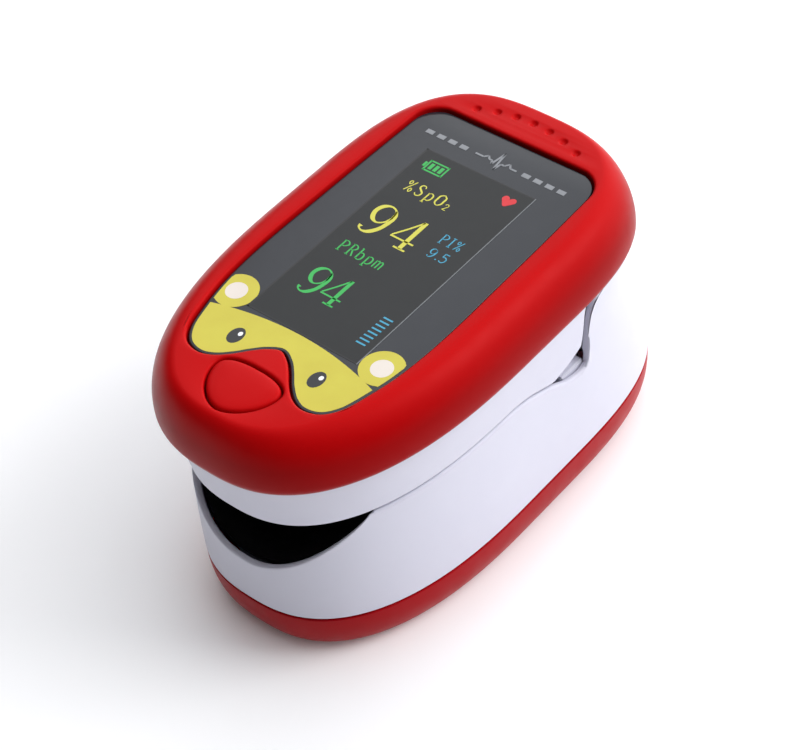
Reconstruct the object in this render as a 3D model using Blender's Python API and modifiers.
"""Fingertip pulse oximeter: a sprung two-part clip with a display, a button and a battery door.

Axes: +Z up, -Y towards the finger opening, +Y towards the squeezed end. The origin is under the
middle of the whole object, on the plane it stands on. Lengths are metres.
"""

import math

import bmesh
import bpy
from mathutils import Matrix, Vector

MM = 0.001
GAP = 0.3 * MM
SEAM = 0.2 * MM

# Plan of the red cover at its widest: a blunt front curve and a squarer rear curve.
COVER_FRONT = -30.2 * MM
COVER_REAR = 27.0 * MM
HALF_WIDTH = 17.5 * MM
FRONT_CURVE = 29.3 * MM
REAR_CURVE = 21.0 * MM
FRONT_POWER = 2.5
REAR_POWER = 3.0
CURVE_STEPS = 24

# Heights of the stack.
TOP_Z = 34.4 * MM
WIDEST_Z = 28.7 * MM
COVER_SEAM_Z = 27.4 * MM
PARTING_Z = 20.4 * MM
LOW_SEAM_Z = 6.0 * MM
CHEEK_Z = 26.4 * MM

# How far each level lies inside the cover's widest plan: (front, side, rear).
CREST_INSET = (2.2 * MM, 3.6 * MM, 1.5 * MM)
SKIRT_TOP_INSET = (1.0 * MM, 1.55 * MM, 1.55 * MM)
PARTING_INSET = (2.2 * MM, 2.05 * MM, 0.2 * MM)
LOW_INSET = (1.9 * MM, 1.25 * MM, -3.2 * MM)
BASE_INSET = (4.4 * MM, 3.75 * MM, -0.7 * MM)
RIM_WALL = 1.25 * MM
SHELL_WALL = 1.2 * MM

# Hinge of the clip and its travel.
HINGE_Y = 9.2 * MM
HINGE_Z = 18.6 * MM
PIN_RADIUS = 0.8 * MM
PIN_HALF = 13.4 * MM
BORE_RADIUS = 0.88 * MM

# Side views of the edges that part the two halves: (y, z) in millimetres, front to rear. The skirt's
# lower edge dips and rises again over a notch at the hinge, and the cheeks rise behind it.
SKIRT_EDGE = ((-40.0, 20.55), (-1.5, 20.55), (1.6, 20.05), (5.2, 18.85), (8.0, 19.3), (10.7, 20.1))
SKIRT_REAR = ((10.9, 22.4), (11.4, 24.6), (12.8, 26.3), (15.4, 28.0), (19.0, 30.0), (40.0, 30.0))
LOWER_EDGE = ((-40.0, 20.25), (-1.5, 20.25), (1.6, 19.75), (5.2, 18.5), (7.4, 17.3), (9.6, 16.8))
CHEEK_EDGE = ((11.4, 17.2), (11.6, 20.1), (12.2, 22.9), (12.8, 24.0), (13.8, 24.7), (16.0, 25.2))
CHEEK_REAR = ((20.1, 25.8), (26.0, 26.2), (40.0, 26.2))

# Finger channel.
CHANNEL_HALF = 12.4 * MM
CHANNEL_FLOOR = 14.4 * MM
MOUTH_FLOOR = 13.3 * MM
CHANNEL_ROOF = 24.1 * MM
CHANNEL_END = 5.0 * MM
PAD_END = 6.3 * MM
PAD_THICKNESS = 1.2 * MM
SENSOR_Y = -8.0 * MM

# Display panel, button and grip dimples.
PANEL_TOP = TOP_Z - 0.45 * MM
PANEL_THICKNESS = 1.0 * MM
PANEL_REAR = 20.2 * MM
PANEL_HALF = 11.7 * MM
PANEL_CORNER = 3.0 * MM
PANEL_NOTCH = -17.4 * MM
# The right lobe at the panel's front and the side behind it: (x, y) in millimetres.
PANEL_LOBE = (
    (1.5, -18.1), (2.7, -19.2), (3.9, -20.5), (5.4, -21.7), (7.0, -22.2), (8.8, -21.7),
    (10.1, -20.1), (10.9, -17.6), (11.7, -13.8), (12.1, -9.5), (12.2, -4.5), (12.1, 1.0),
)
BUTTON_Y = -22.7 * MM
BUTTON_HALF = 4.1 * MM
BUTTON_REAR = 1.8 * MM
BUTTON_FRONT = 4.3 * MM
BUTTON_TOP = TOP_Z + 0.35 * MM
DIMPLES = 7
DIMPLE_RADIUS = 0.55 * MM

# Cells: two of the common 10.5 mm by 44.5 mm size, side by side, facing opposite ways.
CELL_RADIUS = 5.2 * MM
CELL_X = 5.4 * MM
CELL_Z = 7.1 * MM
CELL_REAR = 23.3 * MM
CELL_BODY = 43.6 * MM
NIPPLE = 0.8 * MM

# Battery door.
DOOR_HALF = 10.7 * MM
DOOR_FRONT = -19.7 * MM
DOOR_LIFT = 0.25 * MM
TONGUE_Y = 0.6 * MM
GRIP_GROOVES_Y = (13.0 * MM, 15.2 * MM, 17.4 * MM)

# Route of the flat cable in side view, (y, z) in millimetres, from the cells up to the board.
RIBBON_ROUTE = (
    (18.0, 14.6), (15.0, 14.6), (13.0, 15.4), (12.2, 17.2), (12.0, 19.5),
    (12.2, 22.0), (13.0, 24.4), (14.4, 25.4), (17.0, 25.5),
)

# Main board and screws.
BOARD_Z = 28.3 * MM
SCREW_X = 12.4 * MM
LOWER_SCREW_Y = (-5.0 * MM, 14.0 * MM)
UPPER_SCREW_X = 10.4 * MM
UPPER_SCREW_Y = (-9.0 * MM, 13.6 * MM)

# Fasteners and small parts.
SCREW_HOLE = 0.85 * MM
SCREW_CLEAR = 0.9 * MM
CAVITY_TOP = TOP_Z - 2.4 * MM
PLATE_LOW = 26.0 * MM
WINDOW_HALF = 2.25 * MM
PAD_HOLE = 2.6 * MM
FAR = 40 * MM

X, Z = Vector((1, 0, 0)), Vector((0, 0, 1))


def clear_scene():
    for thing in list(bpy.data.objects):
        bpy.data.objects.remove(thing, do_unlink=True)


def new_collection(name):
    made = bpy.data.collections.new(name)
    bpy.context.scene.collection.children.link(made)
    return made


def material(name, colour, roughness, metallic=0.0):
    made = bpy.data.materials.new(name)
    made.use_nodes = True
    shader = made.node_tree.nodes["Principled BSDF"]
    shader.inputs["Base Color"].default_value = (*colour, 1.0)
    shader.inputs["Roughness"].default_value = roughness
    shader.inputs["Metallic"].default_value = metallic
    return made


# ---------------------------------------------------------------- building blocks


def finish(name, bm, look=None):
    """An object from a bmesh: a part when it has a look, and otherwise a hidden cutter."""
    bmesh.ops.recalc_face_normals(bm, faces=bm.faces)
    mesh = bpy.data.meshes.new(name)
    bm.to_mesh(mesh)
    bm.free()
    made = bpy.data.objects.new(name, mesh)
    if look is None:
        CUTTERS.objects.link(made)
        made.hide_render = True
        made.display_type = "WIRE"
        return made
    PARTS.objects.link(made)
    mesh.materials.append(look)
    mesh.shade_smooth()
    mesh.set_sharp_from_angle(angle=math.radians(32))
    return made


def boolean(target, other, operation):
    step = target.modifiers.new(other.name, "BOOLEAN")
    step.operation = operation
    step.object = other


def cut(target, *others):
    for other in others:
        boolean(target, other, "DIFFERENCE")


def join(target, *others):
    for other in others:
        boolean(target, other, "UNION")


def keep(target, other):
    boolean(target, other, "INTERSECT")


def power(value, exponent):
    return math.copysign(abs(value) ** exponent, value)


def ring(inset, z):
    """The plan outline at height z, drawn in from the cover's widest line by (front, side, rear)."""
    front, side, rear = inset
    half = HALF_WIDTH - side
    front_length = FRONT_CURVE - 0.8 * front
    rear_length = REAR_CURVE - 0.8 * rear
    ends = (
        (COVER_REAR - rear - rear_length, rear_length, REAR_POWER),
        (COVER_FRONT + front + front_length, front_length, FRONT_POWER),
    )
    points = []
    for end, (centre, length, exponent) in enumerate(ends):
        for step in range(CURVE_STEPS):
            angle = math.pi * (end + (step + 0.5) / CURVE_STEPS)
            x = half * power(math.cos(angle), 2 / exponent)
            y = centre + length * power(math.sin(angle), 2 / exponent)
            points.append(Vector((x, y, z)))
    return points


def mixed(first, second, share):
    return tuple(a + (b - a) * share for a, b in zip(first, second))


def grown(inset, amount):
    return tuple(side + amount for side in inset)


def wall_inset(z):
    """The white casing's outer face: waisted at the parting line, flared to the base and the rear."""
    if z >= PARTING_Z:
        share = (z - PARTING_Z) / (COVER_SEAM_Z - PARTING_Z)
        return mixed(PARTING_INSET, SKIRT_TOP_INSET, share)
    share = math.sin(math.pi / 2 * (PARTING_Z - z) / (PARTING_Z - LOW_SEAM_Z))
    return mixed(PARTING_INSET, LOW_INSET, share)


def base_inset(z):
    """The red base's outer face: a quarter of an ellipse from the flat underside to the seam."""
    share = math.sqrt(max(0.0, 1 - (1 - z / LOW_SEAM_Z) ** 2.6))
    return mixed(BASE_INSET, LOW_INSET, share)


def loft(name, rings, look=None, looped=False):
    """A closed body through rings of equal length: looped like a tube wall, or capped at both ends."""
    bm = bmesh.new()
    rows = [[bm.verts.new(point) for point in points] for points in rings]
    pairs = list(zip(rows, rows[1:]))
    if looped:
        pairs.append((rows[-1], rows[0]))
    else:
        bm.faces.new(rows[0])
        bm.faces.new(rows[-1])
    for low, high in pairs:
        for i, point in enumerate(low):
            after = (i + 1) % len(low)
            bm.faces.new((point, low[after], high[after], high[i]))
    return finish(name, bm, look)


def wall(name, outer, inner, look=None):
    """A tube wall between an outer and an inner face, each a list of (inset, height) from the bottom."""
    rings = [ring(*level) for level in outer + inner[::-1]]
    return loft(name, rings, look, looped=True)


def box(name, low, high, look=None, bevel=0.0):
    bm = bmesh.new()
    size = Vector(high) - Vector(low)
    middle = (Vector(high) + Vector(low)) / 2
    place = Matrix.Translation(middle) @ Matrix.Diagonal((*size, 1.0))
    bmesh.ops.create_cube(bm, size=1.0, matrix=place)
    made = finish(name, bm, look)
    if bevel:
        rounding = made.modifiers.new("rounded edges", "BEVEL")
        rounding.width = bevel
        rounding.segments = 2
    return made


def rod(name, start, end, radius, look=None, segments=20):
    """A cylinder between two points."""
    start, end = Vector(start), Vector(end)
    turn = Z.rotation_difference((end - start).normalized()).to_matrix().to_4x4()
    bm = bmesh.new()
    bmesh.ops.create_cone(
        bm,
        cap_ends=True,
        segments=segments,
        radius1=radius,
        radius2=radius,
        depth=(end - start).length,
        matrix=Matrix.Translation((start + end) / 2) @ turn,
    )
    return finish(name, bm, look)


def block(name, centre, halves, low, high, look=None, bevel=0.0):
    """An upright box from its centre and half sides in plan, and its two heights."""
    (x, y), (half_x, half_y) = centre, halves
    return box(name, (x - half_x, y - half_y, low), (x + half_x, y + half_y, high), look, bevel)


def upright(name, spot, low, high, radius, look=None, segments=14):
    """An upright cylinder at a spot (x, y)."""
    return rod(name, (*spot, low), (*spot, high), radius, look, segments)


def corners(half, rows):
    """The four spots of a set of screws."""
    return [(x, y) for y in rows for x in (-half, half)]


def prism(name, outline, axis, low, high, look=None):
    """A flat outline pushed along an axis. Its pairs are the other two axes, in X, Y, Z order."""
    others = [n for n in range(3) if n != axis]
    rows = []
    for level in (low, high):
        row = []
        for pair in outline:
            point = Vector((0, 0, 0))
            point[others[0]], point[others[1]] = pair
            point[axis] = level
            row.append(point)
        rows.append(row)
    return loft(name, rows, look)


def turned(name, profile, place, look, steps=16):
    """A turned piece: (radius, height) pairs from its top to its bottom, by a Screw modifier."""
    bm = bmesh.new()
    points = [bm.verts.new((radius, 0, height)) for radius, height in profile]
    for first, second in zip(points, points[1:]):
        bm.edges.new((first, second))
    mesh = bpy.data.meshes.new(name)
    bm.to_mesh(mesh)
    bm.free()
    made = bpy.data.objects.new(name, mesh)
    PARTS.objects.link(made)
    mesh.materials.append(look)
    made.matrix_world = place
    lathe = made.modifiers.new("turn", "SCREW")
    lathe.axis = "Z"
    lathe.steps = steps
    lathe.render_steps = steps
    lathe.use_merge_vertices = True
    lathe.merge_threshold = 0.00001
    lathe.use_smooth_shade = True
    return made


def wire(name, points, radius, look, resolution=1):
    spline_data = bpy.data.curves.new(name, "CURVE")
    spline_data.dimensions = "3D"
    spline_data.bevel_depth = radius
    spline_data.bevel_resolution = resolution
    spline_data.use_fill_caps = True
    spline = spline_data.splines.new("POLY")
    spline.points.add(len(points) - 1)
    for target, point in zip(spline.points, points):
        target.co = (*point, 1.0)
    made = bpy.data.objects.new(name, spline_data)
    spline_data.materials.append(look)
    PARTS.objects.link(made)
    return made


def at(x, y, z):
    return Matrix.Translation((x, y, z))


def nose(grow, centre_y, steps=32):
    """The button's outline: a blunt rear half and a front half drawn out to a soft point."""
    points = []
    for step in range(steps):
        angle = 2 * math.pi * step / steps
        rear = math.sin(angle) >= 0
        length, exponent = (BUTTON_REAR, 2.5) if rear else (BUTTON_FRONT, 1.75)
        x = (BUTTON_HALF + grow) * power(math.cos(angle), 2 / exponent)
        points.append((x, centre_y + (length + grow) * power(math.sin(angle), 2 / exponent)))
    return points


def channel(name, floor_grow, end, upward):
    """The finger's space: a rounded V below the parting line, or an arch above it."""
    half = CHANNEL_HALF + floor_grow
    reach = {-38 * MM: MOUTH_FLOOR - 0.2 * MM, -24 * MM: MOUTH_FLOOR, end: CHANNEL_FLOOR}
    exponent = 1.55
    if upward:
        half = CHANNEL_HALF - 1.2 * MM + floor_grow
        reach = {-38 * MM: CHANNEL_ROOF, end: CHANNEL_ROOF}
        exponent = 2.2
    rows = []
    for y, limit in reach.items():
        edge = PARTING_Z + (-0.3 * MM if upward else 0.2 * MM)
        limit += floor_grow if upward else -floor_grow
        beyond = edge + (-6 * MM if upward else 6 * MM)
        row = [Vector((half, y, beyond))]
        for step in range(21):
            angle = math.pi * step / 20
            x = half * power(math.cos(angle), 2 / exponent)
            z = edge + (limit - edge) * power(math.sin(angle), 2 / exponent)
            row.append(Vector((x, y, z)))
        row.append(Vector((-half, y, beyond)))
        rows.append(row)
    return loft(name, rows)


# ---------------------------------------------------------------- lower half


def side_view(*edges, beyond):
    """A closed (y, z) outline in metres from edges in millimetres, closed at the height beyond."""
    points = [point for edge in edges for point in edge]
    points += [(points[-1][0], beyond), (points[0][0], beyond)]
    return [(y * MM, z * MM) for y, z in points]


def cross_rod(name, half, radius, look=None, segments=20):
    """A cylinder on the hinge's axis."""
    return rod(name, (-half, HINGE_Y, HINGE_Z), (half, HINGE_Y, HINGE_Z), radius, look, segments)


def make_lower_shell():
    levels = [LOW_SEAM_Z + SEAM / 2]
    levels += [LOW_SEAM_Z + step * MM for step in (2.5, 5.0, 8.0, 11.0)]
    levels += [PARTING_Z, PARTING_Z + 2.4 * MM, CHEEK_Z + MM]
    outer = [(cheek_inset(z), z) for z in levels]
    inner = [(grown(wall_inset(z), SHELL_WALL), z) for z in levels]
    shell = wall("lower_shell", outer, inner, WHITE)
    outline = side_view(LOWER_EDGE, CHEEK_EDGE, CHEEK_REAR, beyond=45.0)
    cut(shell, prism("above_lower_shell", outline, 0, -FAR, FAR))
    cut(shell, channel("scoop", 0.0, -8 * MM, False))
    low, high = HINGE_Z - 4.2 * MM, PARTING_Z - 0.1 * MM
    for side in (-1, 1):
        eye = block(f"lug_{side}", (side * 12.95 * MM, HINGE_Y), (0.75 * MM, 1.9 * MM), low, high)
        root_place = (side * 14.25 * MM, HINGE_Y)
        root = block(f"lug_root_{side}", root_place, (0.65 * MM, 1.9 * MM), low, HINGE_Z - 1.2 * MM)
        join(shell, eye, root)
    bore_half = PIN_HALF + 0.15 * MM
    cut(shell, cross_rod("lug_bore", bore_half, BORE_RADIUS))
    return shell


def cheek_inset(z):
    """The lower shell's face. Above the parting line it leans in, to pass inside the red rim."""
    if z <= PARTING_Z:
        return wall_inset(z)
    share = (z - PARTING_Z) / (CHEEK_Z - PARTING_Z)
    return mixed(PARTING_INSET, (2.0 * MM, 1.75 * MM, 1.35 * MM), share)


def base_body(name, look=None):
    """The whole base as a thin dish, before the door is divided from it."""
    heights = [0.0, 0.35 * MM, 1.0 * MM, 2.2 * MM, 3.8 * MM, LOW_SEAM_Z - SEAM / 2]
    outer = [ring(base_inset(z), z) for z in heights]
    floor = 1.45 * MM
    inner = [ring(grown(base_inset(z), SHELL_WALL), z) for z in reversed(heights[3:])]
    inner.append(ring(grown(base_inset(floor), SHELL_WALL), floor))
    return loft(name, outer + inner, look)


def make_bottom_cover():
    cover = base_body("bottom_cover", RED)
    slot_half = DOOR_HALF + GAP
    opening = box("door_opening", (-slot_half, DOOR_FRONT - GAP, -MM), (slot_half, FAR, 9 * MM))
    cut(cover, opening)
    spots = corners(SCREW_X, LOWER_SCREW_Y)
    for n, spot in enumerate(spots):
        join(cover, upright(f"post_{n}", spot, 0.8 * MM, 8.0 * MM, 1.4 * MM))
    for n, spot in enumerate(spots):
        cut(cover, upright(f"post_hole_{n}", spot, 2.6 * MM, 9 * MM, SCREW_HOLE))
    return cover


def make_battery_door():
    door = base_body("battery_door", RED)
    keep(door, box("door_block", (-DOOR_HALF, DOOR_FRONT, DOOR_LIFT), (DOOR_HALF, FAR, 9 * MM)))
    for side in (-1, 1):
        name = "right" if side > 0 else "left"
        foot = (side * (DOOR_HALF - 0.55 * MM), TONGUE_Y)
        riser = block(f"riser_{name}", foot, (0.55 * MM, 3.7 * MM), 1.0 * MM, 2.5 * MM)
        reach = (side * (DOOR_HALF + 0.4 * MM), TONGUE_Y)
        tongue = block(f"tongue_{name}", reach, (1.2 * MM, 3.5 * MM), 1.8 * MM, 2.5 * MM)
        join(door, riser, tongue)
    for n, y in enumerate(GRIP_GROOVES_Y):
        cut(door, block(f"grip_groove_{n}", (0, y), (5 * MM, 0.4 * MM), 0, 0.65 * MM))
    return door


def make_cell(name, side, nipple_rear):
    """A dry cell lying along Y. Its button end is at the rear, or at the front."""
    radius = CELL_RADIUS
    profile = [
        (0, CELL_BODY / 2 + NIPPLE),
        (1.8 * MM, CELL_BODY / 2 + NIPPLE),
        (1.9 * MM, CELL_BODY / 2),
        (radius - 0.6 * MM, CELL_BODY / 2),
        (radius, CELL_BODY / 2 - 0.6 * MM),
        (radius, -CELL_BODY / 2 + 0.4 * MM),
        (radius - 0.4 * MM, -CELL_BODY / 2),
        (0, -CELL_BODY / 2),
    ]
    angle = -90 if nipple_rear else 90
    middle = CELL_REAR - CELL_BODY / 2
    if not nipple_rear:
        middle += NIPPLE / 2
    place = at(side * CELL_X, middle, CELL_Z) @ Matrix.Rotation(math.radians(angle), 4, "X")
    return turned(name, profile, place, CELL, steps=24)


def make_contacts():
    front = CELL_REAR - CELL_BODY - NIPPLE - 0.55 * MM
    low, high = 4.2 * MM, 8.0 * MM
    box("bridge_contact", (-8.4 * MM, front - 0.4 * MM, low), (8.4 * MM, front, high), NICKEL)
    rear = CELL_REAR + NIPPLE + GAP
    for name, side in (("positive_contact", 1), ("negative_contact", -1)):
        near, far = sorted((side * 2.0 * MM, side * 8.6 * MM))
        box(name, (near, rear, low), (far, rear + 0.4 * MM, high), NICKEL)


def make_lower_frame():
    """The moulding over the cells that carries the finger pad and the sensor."""
    levels = [8.3 * MM, 12.0 * MM, 16.0 * MM, PARTING_Z - 2.2 * MM]
    rings = [ring(grown(wall_inset(z), SHELL_WALL + GAP), z) for z in levels]
    frame = loft("lower_frame", rings, FRAME_PLASTIC)
    cut(frame, channel("bed_under_pad", PAD_THICKNESS + GAP, PAD_END + GAP, False))
    for side in (-1, 1):
        start, end = (side * CELL_X, -FAR, CELL_Z), (side * CELL_X, FAR, CELL_Z)
        cut(frame, rod(f"cell_bay_{side}", start, end, CELL_RADIUS + 0.25 * MM))
    cut(frame, box("under_hinge", (-FAR, PAD_END + GAP, 14.0 * MM), (FAR, FAR, 30 * MM)))
    cut(frame, block("sensor_well", (0, SENSOR_Y), (4.2 * MM, 4.2 * MM), 5 * MM, 20 * MM))
    for n, spot in enumerate(corners(SCREW_X, LOWER_SCREW_Y)):
        cut(frame, upright(f"frame_hole_{n}", spot, 7 * MM, 30 * MM, SCREW_CLEAR))
        cut(frame, upright(f"frame_sink_{n}", spot, screw_seat(spot[1]), 30 * MM, 1.6 * MM))
    return frame


def screw_seat(y):
    """Height of the face that a lower screw's head sits on."""
    return 15.2 * MM if y < PAD_END else 12.6 * MM


def make_lower_pad():
    levels = [12.4 * MM, 15.0 * MM, 17.5 * MM, PARTING_Z - 0.2 * MM]
    rings = [ring(grown(wall_inset(z), SHELL_WALL + GAP), z) for z in levels]
    pad = loft("lower_finger_pad", rings, SILICONE)
    keep(pad, channel("pad_underside", PAD_THICKNESS, PAD_END, False))
    cut(pad, channel("finger_bed", 0.02 * MM, CHANNEL_END, False))
    cut(pad, block("sensor_hole", (0, SENSOR_Y), (PAD_HOLE, PAD_HOLE), 9 * MM, 30 * MM))
    return pad


def make_sensor():
    spot = (0, SENSOR_Y)
    top = CHANNEL_FLOOR - 0.55 * MM
    low = top - 0.8 * MM
    block("sensor_window", spot, (WINDOW_HALF, WINDOW_HALF), low, top, CLEAR, 0.2 * MM)
    top = low - GAP
    low = top - 0.7 * MM
    block("photodiode", spot, (1.5 * MM, 1.5 * MM), low, top, DARK_CHIP)
    top = low - 0.1 * MM
    block("sensor_board", spot, (2.0 * MM, 3.4 * MM), top - 0.5 * MM, top, BOARD)


def make_hinge_pin():
    cross_rod("hinge_pin", PIN_HALF, PIN_RADIUS, STEEL, 16)


def make_torsion_spring(side):
    """A coil on the pin with two legs to the rear, one on the frame and one under the upper shell."""
    name = "right" if side > 0 else "left"
    mean, pitch, turns, per_turn = 1.9 * MM, 0.85 * MM, 4, 12
    start_angle, lean = math.radians(-62), math.radians(124)
    points = []
    total = turns * 2 * math.pi + lean
    steps = turns * per_turn + 4
    for step in range(steps + 1):
        angle = start_angle + total * step / steps
        y = HINGE_Y + mean * math.cos(angle)
        z = HINGE_Z + mean * math.sin(angle)
        points.append(Vector((side * (4.6 * MM + pitch * turns * step / steps), y, z)))
    first, last = points[0].copy(), points[-1].copy()
    leg = 6.2 * MM
    points.insert(0, first + Vector((0, leg, -1.9 * MM)))
    points.append(last + Vector((0, leg, 1.9 * MM)))
    return wire(f"torsion_spring_{name}", points, 0.28 * MM, STEEL)


def make_flex_ribbon():
    """The flat cable from the battery contacts to the board, looped behind the hinge pin."""
    thick, half = 0.15 * MM, 2.4 * MM
    centre = [Vector((0, y * MM, z * MM)) for y, z in RIBBON_ROUTE]
    rows = []
    for i, point in enumerate(centre):
        along = (centre[min(i + 1, len(centre) - 1)] - centre[max(i - 1, 0)]).normalized()
        across, sideways = along.cross(X) * thick, X * half
        near, far = point + across, point - across
        rows.append([near + sideways, near - sideways, far - sideways, far + sideways])
    return loft("flex_ribbon", rows, POLYIMIDE)


def make_screw(name, x, y, seat, length, downward):
    """A small pan-head screw. Its seat is where its head meets the plastic."""
    profile = [
        (0, 0.9 * MM),
        (1.0 * MM, 0.9 * MM),
        (1.35 * MM, 0.55 * MM),
        (1.35 * MM, 0.05 * MM),
        (0.7 * MM, 0.05 * MM),
        (0.7 * MM, -length + 0.5 * MM),
        (0, -length),
    ]
    turn = 0 if downward else math.pi
    place = at(x, y, seat) @ Matrix.Rotation(turn, 4, "X")
    return turned(name, profile, place, STEEL, steps=12)


def make_lower_screws():
    for number, (x, y) in enumerate(corners(SCREW_X, LOWER_SCREW_Y), 1):
        seat = screw_seat(y)
        make_screw(f"lower_screw_{number}", x, y, seat + 0.1 * MM, seat - 3.6 * MM, True)


# ---------------------------------------------------------------- upper half


def panel_outline(grow):
    """Half of the panel's edge mirrored: square rear, slight barrel sides, two lobes and a notch."""
    right = [(0.0, PANEL_NOTCH - grow)]
    for x, y in PANEL_LOBE:
        x, y = x * MM, y * MM
        sideways = grow if x > 8 * MM else -grow * 0.7
        forward = 0
        if x < 10.5 * MM:
            forward = grow if x > 5 * MM else grow * 0.7
        right.append((x + sideways, y - forward))
    right.append((PANEL_HALF + 0.25 * MM + grow, 9.0 * MM))
    centre_x = PANEL_HALF + grow - PANEL_CORNER
    centre_y = PANEL_REAR + grow - PANEL_CORNER
    for step in range(6):
        angle = math.pi / 2 * step / 5
        x = centre_x + PANEL_CORNER * math.cos(angle)
        right.append((x, centre_y + PANEL_CORNER * math.sin(angle)))
    left = [(-x, y) for x, y in reversed(right) if x > 0]
    return right + left


def make_top_cover():
    outer = [ring((0.3 * MM, 0.65 * MM, 0.3 * MM), COVER_SEAM_Z)]
    outer.append(ring((0.08 * MM, 0.2 * MM, 0.08 * MM), COVER_SEAM_Z + 0.55 * MM))
    steps = 7
    for step in range(steps + 1):
        angle = math.pi / 2 * step / steps
        inset = mixed((0, 0, 0), CREST_INSET, 1 - math.cos(angle))
        outer.append(ring(inset, WIDEST_Z + (TOP_Z - WIDEST_Z) * math.sin(angle)))
    inner = [ring(grown(CREST_INSET, 0.9 * MM), CAVITY_TOP)]
    shoulder = grown(mixed((0, 0, 0), CREST_INSET, 0.3), RIM_WALL)
    inner.append(ring(shoulder, CAVITY_TOP - 1.2 * MM))
    inner.append(ring((RIM_WALL, RIM_WALL, RIM_WALL), WIDEST_Z + 0.4 * MM))
    inner.append(ring((RIM_WALL, RIM_WALL + 0.05 * MM, RIM_WALL), COVER_SEAM_Z))
    cover = loft("top_cover", inner + outer, RED)
    spots = corners(UPPER_SCREW_X, UPPER_SCREW_Y)
    for n, spot in enumerate(spots):
        join(cover, upright(f"boss_{n}", spot, 27.7 * MM, CAVITY_TOP + 0.4 * MM, 1.6 * MM))
    for n, spot in enumerate(spots):
        cut(cover, upright(f"boss_hole_{n}", spot, 27.0 * MM, 31.2 * MM, SCREW_HOLE))
    recess = PANEL_TOP - PANEL_THICKNESS - GAP
    cut(cover, prism("panel_recess", panel_outline(0.2 * MM), 2, recess, TOP_Z + MM))
    cut(cover, block("module_window", (0, 0), (8.3 * MM, 15.8 * MM), 30 * MM, 34 * MM))
    hole = nose(0.25 * MM, BUTTON_Y)
    cut(cover, prism("button_hole", hole, 2, 30 * MM, 36 * MM))
    for n in range(DIMPLES):
        cut(cover, make_dimple(n))
    return cover


def make_dimple(number):
    """One of the grip dimples, on an arc behind the panel."""
    share = number / (DIMPLES - 1) * 2 - 1
    x = 6.7 * MM * share
    y = 23.4 * MM - 1.4 * MM * share * share
    bm = bmesh.new()
    place = at(x, y, TOP_Z + 0.25 * MM)
    bmesh.ops.create_uvsphere(bm, u_segments=10, v_segments=6, radius=DIMPLE_RADIUS, matrix=place)
    return finish(f"dimple_{number}", bm)


def make_upper_shell():
    plate_high = COVER_SEAM_Z - GAP
    levels = [18.0 * MM, PARTING_Z, PARTING_Z + 3 * MM, plate_high]
    outer = [(wall_inset(z), z) for z in levels]
    lip = 3 * (RIM_WALL + GAP + 0.05 * MM,)
    outer += [(lip, plate_high), (lip, COVER_SEAM_Z + 1.3 * MM)]
    inner = [((3.6 * MM, 3.5 * MM, 3.5 * MM), z) for z in (levels[0], plate_high)]
    inner.append((grown(lip, 0.9 * MM), COVER_SEAM_Z + 1.3 * MM))
    shell = wall("upper_shell", outer, inner, WHITE)
    cut(shell, prism("below_skirt", side_view(SKIRT_EDGE, beyond=10.0), 0, -FAR, FAR))
    corner = SKIRT_EDGE[-1:]
    outline = side_view(corner, SKIRT_REAR, beyond=10.0)
    cut(shell, prism("behind_skirt", outline, 0, -FAR, FAR))
    tub_inset = (3.3 * MM, 3.4 * MM, 5.2 * MM)
    tub = loft("upper_tub", [ring(tub_inset, z) for z in (21.2 * MM, plate_high)])
    hollow = loft("tub_hollow", [ring(grown(tub_inset, 1.0 * MM), z) for z in (19 * MM, PLATE_LOW)])
    under_plate = box("under_plate", (-FAR, -FAR, 19 * MM), (FAR, 9.0 * MM, PLATE_LOW))
    cut(tub, hollow, under_plate)
    join(shell, tub)
    for side in (-1, 1):
        x, half, round_end = side * 10.95 * MM, 1.05 * MM, 1.7 * MM
        ear = block(f"ear_{side}", (x, HINGE_Y), (half, round_end), HINGE_Z, PLATE_LOW + GAP)
        start, end = (x - half, HINGE_Y, HINGE_Z), (x + half, HINGE_Y, HINGE_Z)
        join(shell, ear, rod(f"ear_tip_{side}", start, end, round_end))
    cut(shell, cross_rod("ear_bore", 13 * MM, BORE_RADIUS))
    cut(shell, block("emitter_port", (0, SENSOR_Y), (4 * MM, 4 * MM), 25 * MM, 30 * MM))
    for n, spot in enumerate(corners(UPPER_SCREW_X, UPPER_SCREW_Y)):
        cut(shell, upright(f"plate_hole_{n}", spot, 25 * MM, 29 * MM, SCREW_CLEAR))
    return shell


def make_upper_pad():
    levels = [PARTING_Z + 0.3 * MM, 23.0 * MM, 25.7 * MM]
    rings = [ring((3.9 * MM, 3.8 * MM, 3.8 * MM), z) for z in levels]
    pad = loft("upper_finger_pad", rings, SILICONE)
    cut(pad, box("pad_rear", (-FAR, PAD_END, 10 * MM), (FAR, FAR, FAR)))
    cut(pad, channel("finger_arch", 0.0, CHANNEL_END, True))
    cut(pad, block("emitter_hole", (0, SENSOR_Y), (PAD_HOLE, PAD_HOLE), 20 * MM, 30 * MM))
    for n, spot in enumerate(corners(UPPER_SCREW_X, UPPER_SCREW_Y[:1])):
        cut(pad, upright(f"pad_sink_{n}", spot, 24.4 * MM, 27 * MM, 1.7 * MM))
    return pad


def make_emitter():
    spot = (0, SENSOR_Y)
    low = CHANNEL_ROOF + 0.1 * MM
    top = low + 0.7 * MM
    block("emitter_window", spot, (WINDOW_HALF, WINDOW_HALF), low, top, CLEAR, 0.2 * MM)
    low = top + GAP
    top = low + 0.8 * MM
    block("emitter_led", spot, (1.6 * MM, 1.6 * MM), low, top, DARK_CHIP)
    low = top + 0.1 * MM
    block("emitter_board", spot, (3.5 * MM, 3.5 * MM), low, low + 0.6 * MM, BOARD)


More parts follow.
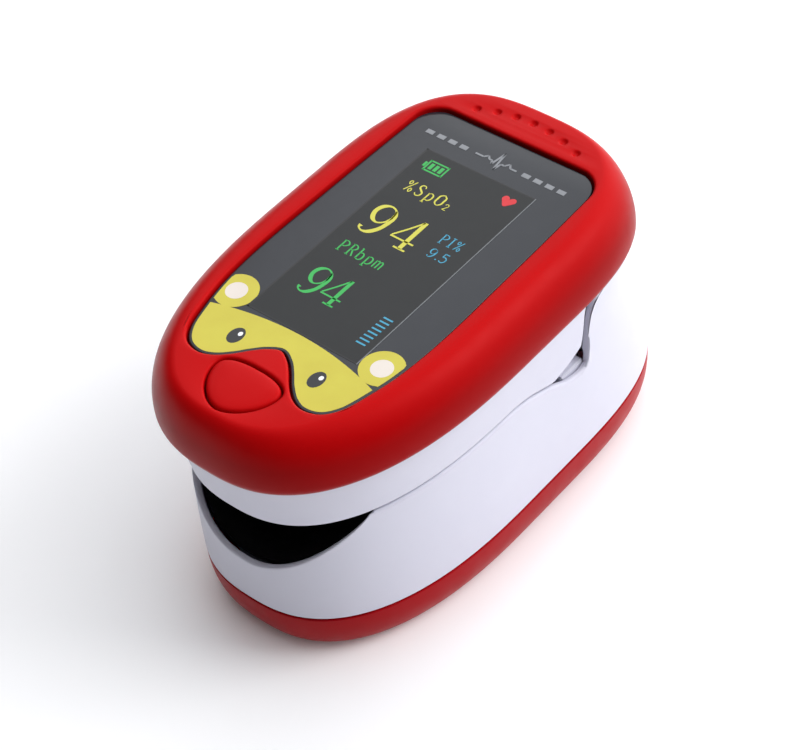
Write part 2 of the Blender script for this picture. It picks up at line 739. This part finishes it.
def make_panel():
    low = PANEL_TOP - PANEL_THICKNESS
    panel = prism("display_panel", panel_outline(0.0), 2, low, PANEL_TOP, LENS)
    edge = panel.modifiers.new("soft edge", "BEVEL")
    edge.width = 0.12 * MM
    edge.segments = 1
    edge.angle_limit = math.radians(50)
    return panel


def make_display_module():
    low, high = 29.9 * MM, 32.5 * MM
    block("display_module", (0, 0), (7.9 * MM, 15.4 * MM), low, high, LENS, 0.2 * MM)


def make_main_board():
    low, high = BOARD_Z, BOARD_Z + 1.0 * MM
    rings = [ring((3.4 * MM, 9.0 * MM, 6.0 * MM), z) for z in (low, high)]
    board = loft("main_board", rings, BOARD)
    seat = high + 0.1 * MM
    block("processor_chip", (5.0 * MM, 18.6 * MM), (2.0 * MM, 1.4 * MM), seat, seat + 0.9 * MM, DARK_CHIP)
    upright("buzzer", (-3.4 * MM, 18.4 * MM), seat, seat + 1.8 * MM, 2.0 * MM, DARK_CHIP, 20)
    return board


def make_switch():
    """A low tactile switch: a square body with a round well, and the plunger that moves in it."""
    base = BOARD_Z + 1.3 * MM
    half = 2.4 * MM
    top = base + 1.0 * MM
    spot = (0, BUTTON_Y)
    body = block("tact_switch_body", spot, (half, half), base, top, DARK_CHIP)
    cut(body, upright("plunger_well", spot, base + 0.15 * MM, top + MM, 1.2 * MM, None, 20))
    plunger = rod("switch_plunger", (0, 0, -0.4 * MM), (0, 0, 0.3 * MM), 0.95 * MM, DARK_CHIP, 16)
    plunger.location = (0, BUTTON_Y, top)
    return body


def make_button():
    """The nose-shaped key, domed on top, with a flange that keeps it under the cover."""
    under = CAVITY_TOP - GAP
    levels = (
        (0.4, under - 0.55 * MM), (0.4, under), (0.0, under + 0.02 * MM),
        (0.0, BUTTON_TOP - 0.75 * MM), (-0.18, BUTTON_TOP - 0.4 * MM), (-0.6, BUTTON_TOP - 0.15 * MM),
        (-1.6, BUTTON_TOP),
    )
    rows = []
    for grow, z in levels:
        rows.append([Vector((x, y, z)) for x, y in nose(grow * MM, 0.0)])
    button = loft("power_button", rows, RED)
    button.location.y = BUTTON_Y
    return button


def make_upper_screws():
    for number, (x, y) in enumerate(corners(UPPER_SCREW_X, UPPER_SCREW_Y), 1):
        make_screw(f"upper_screw_{number}", x, y, PLATE_LOW - 0.05 * MM, 4.6 * MM, False)


def hang(pivot_name, spot, names):
    """Parents the named parts to an empty on their joint's axis, leaving them where they are."""
    pivot = bpy.data.objects.new(pivot_name, None)
    pivot.location = spot
    pivot.empty_display_size = 4 * MM
    PARTS.objects.link(pivot)
    for name in names:
        part = bpy.data.objects[name]
        part.parent = pivot
        part.matrix_parent_inverse = Matrix.Translation(spot).inverted()


clear_scene()
PARTS = new_collection("fingertip pulse oximeter")
CUTTERS = new_collection("cutters")
RED = material("red_abs", (0.60, 0.02, 0.025), 0.32)
WHITE = material("white_abs", (0.80, 0.80, 0.86), 0.38)
SILICONE = material("black_silicone", (0.015, 0.015, 0.017), 0.65)
LENS = material("dark_lens", (0.05, 0.055, 0.065), 0.08)
CLEAR = material("clear_window", (0.30, 0.05, 0.05), 0.1)
FRAME_PLASTIC = material("grey_frame", (0.35, 0.36, 0.38), 0.5)
BOARD = material("green_board", (0.02, 0.14, 0.06), 0.4)
DARK_CHIP = material("dark_component", (0.03, 0.03, 0.03), 0.45)
CELL = material("cell_sleeve", (0.10, 0.12, 0.16), 0.35, 0.4)
NICKEL = material("nickel", (0.66, 0.63, 0.58), 0.3, 1.0)
STEEL = material("steel", (0.56, 0.57, 0.60), 0.28, 1.0)
POLYIMIDE = material("polyimide", (0.45, 0.22, 0.04), 0.35)

make_lower_shell()
make_bottom_cover()
make_battery_door()
make_cell("battery_cell_1", -1, True)
make_cell("battery_cell_2", 1, False)
make_contacts()
make_lower_frame()
make_lower_pad()
make_sensor()
make_hinge_pin()
make_torsion_spring(-1)
make_torsion_spring(1)
make_flex_ribbon()
make_lower_screws()
make_top_cover()
make_upper_shell()
make_upper_pad()
make_emitter()
make_panel()
make_display_module()
make_main_board()
make_switch()
make_button()
make_upper_screws()

SCREWS = [f"upper_screw_{number}" for number in range(1, 5)]
COVERS = ["top_cover", "upper_shell", "upper_finger_pad", "display_panel"]
BOARDS = ["display_module", "main_board", "processor_chip", "buzzer", "tact_switch_body"]
EMITTER = ["emitter_window", "emitter_led", "emitter_board"]
KEY = ["power_button", "switch_plunger"]
hang("clip_pivot", (0, HINGE_Y, HINGE_Z), COVERS + BOARDS + EMITTER + SCREWS + KEY)
hang("door_track", (0, TONGUE_Y, DOOR_LIFT), ["battery_door"])
